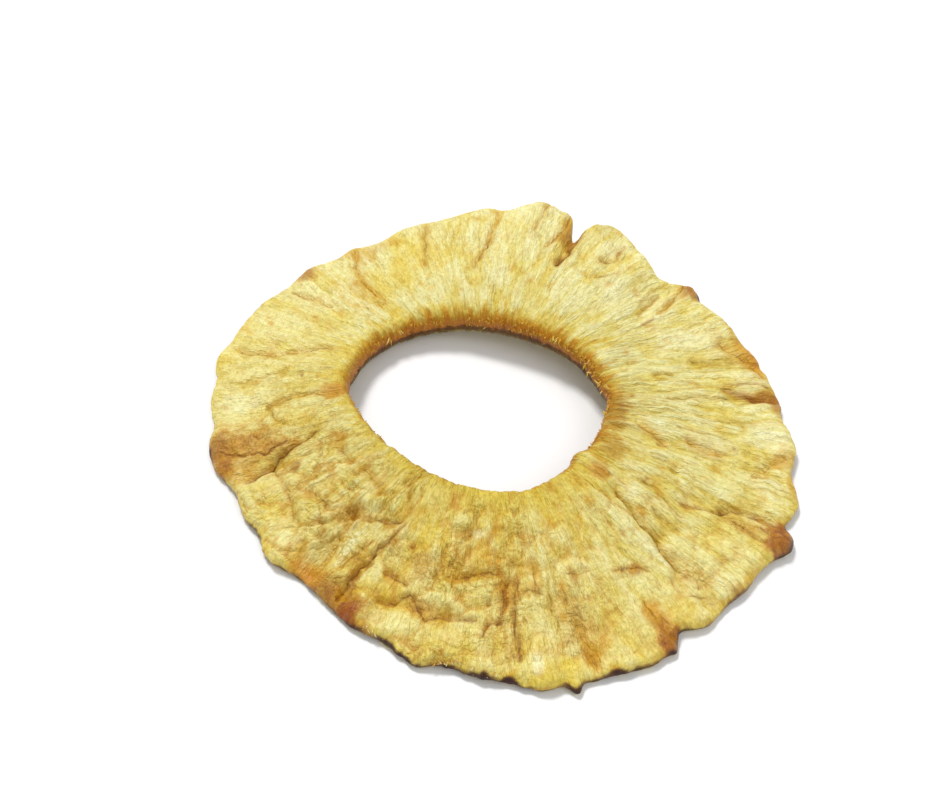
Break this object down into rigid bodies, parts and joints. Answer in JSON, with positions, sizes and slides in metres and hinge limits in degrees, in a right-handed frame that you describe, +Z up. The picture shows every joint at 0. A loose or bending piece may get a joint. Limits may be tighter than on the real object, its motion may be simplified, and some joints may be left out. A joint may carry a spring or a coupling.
{
  "type": "dried pineapple ring",
  "caption": "Dried fruit slice: a thin leathery ring round a bare core hole, with a curled far side, radial folds and an uneven browned rim.",
  "frame": {"origin": "centre of the slice's box, on the surface that the slice lies on", "axes": "+Z up out of the folded top, +X to the right and +Y to the curled far side as the picture shows them"},
  "size_m": [0.0924, 0.0896, 0.0096],
  "materials": {
    "flesh": "dried golden fruit flesh, slightly glossy, browned at the rim and amber round the hole"
  },
  "bodies": {
    "root": {"pineapple_ring": "flesh"}
  },
  "joints": []
}
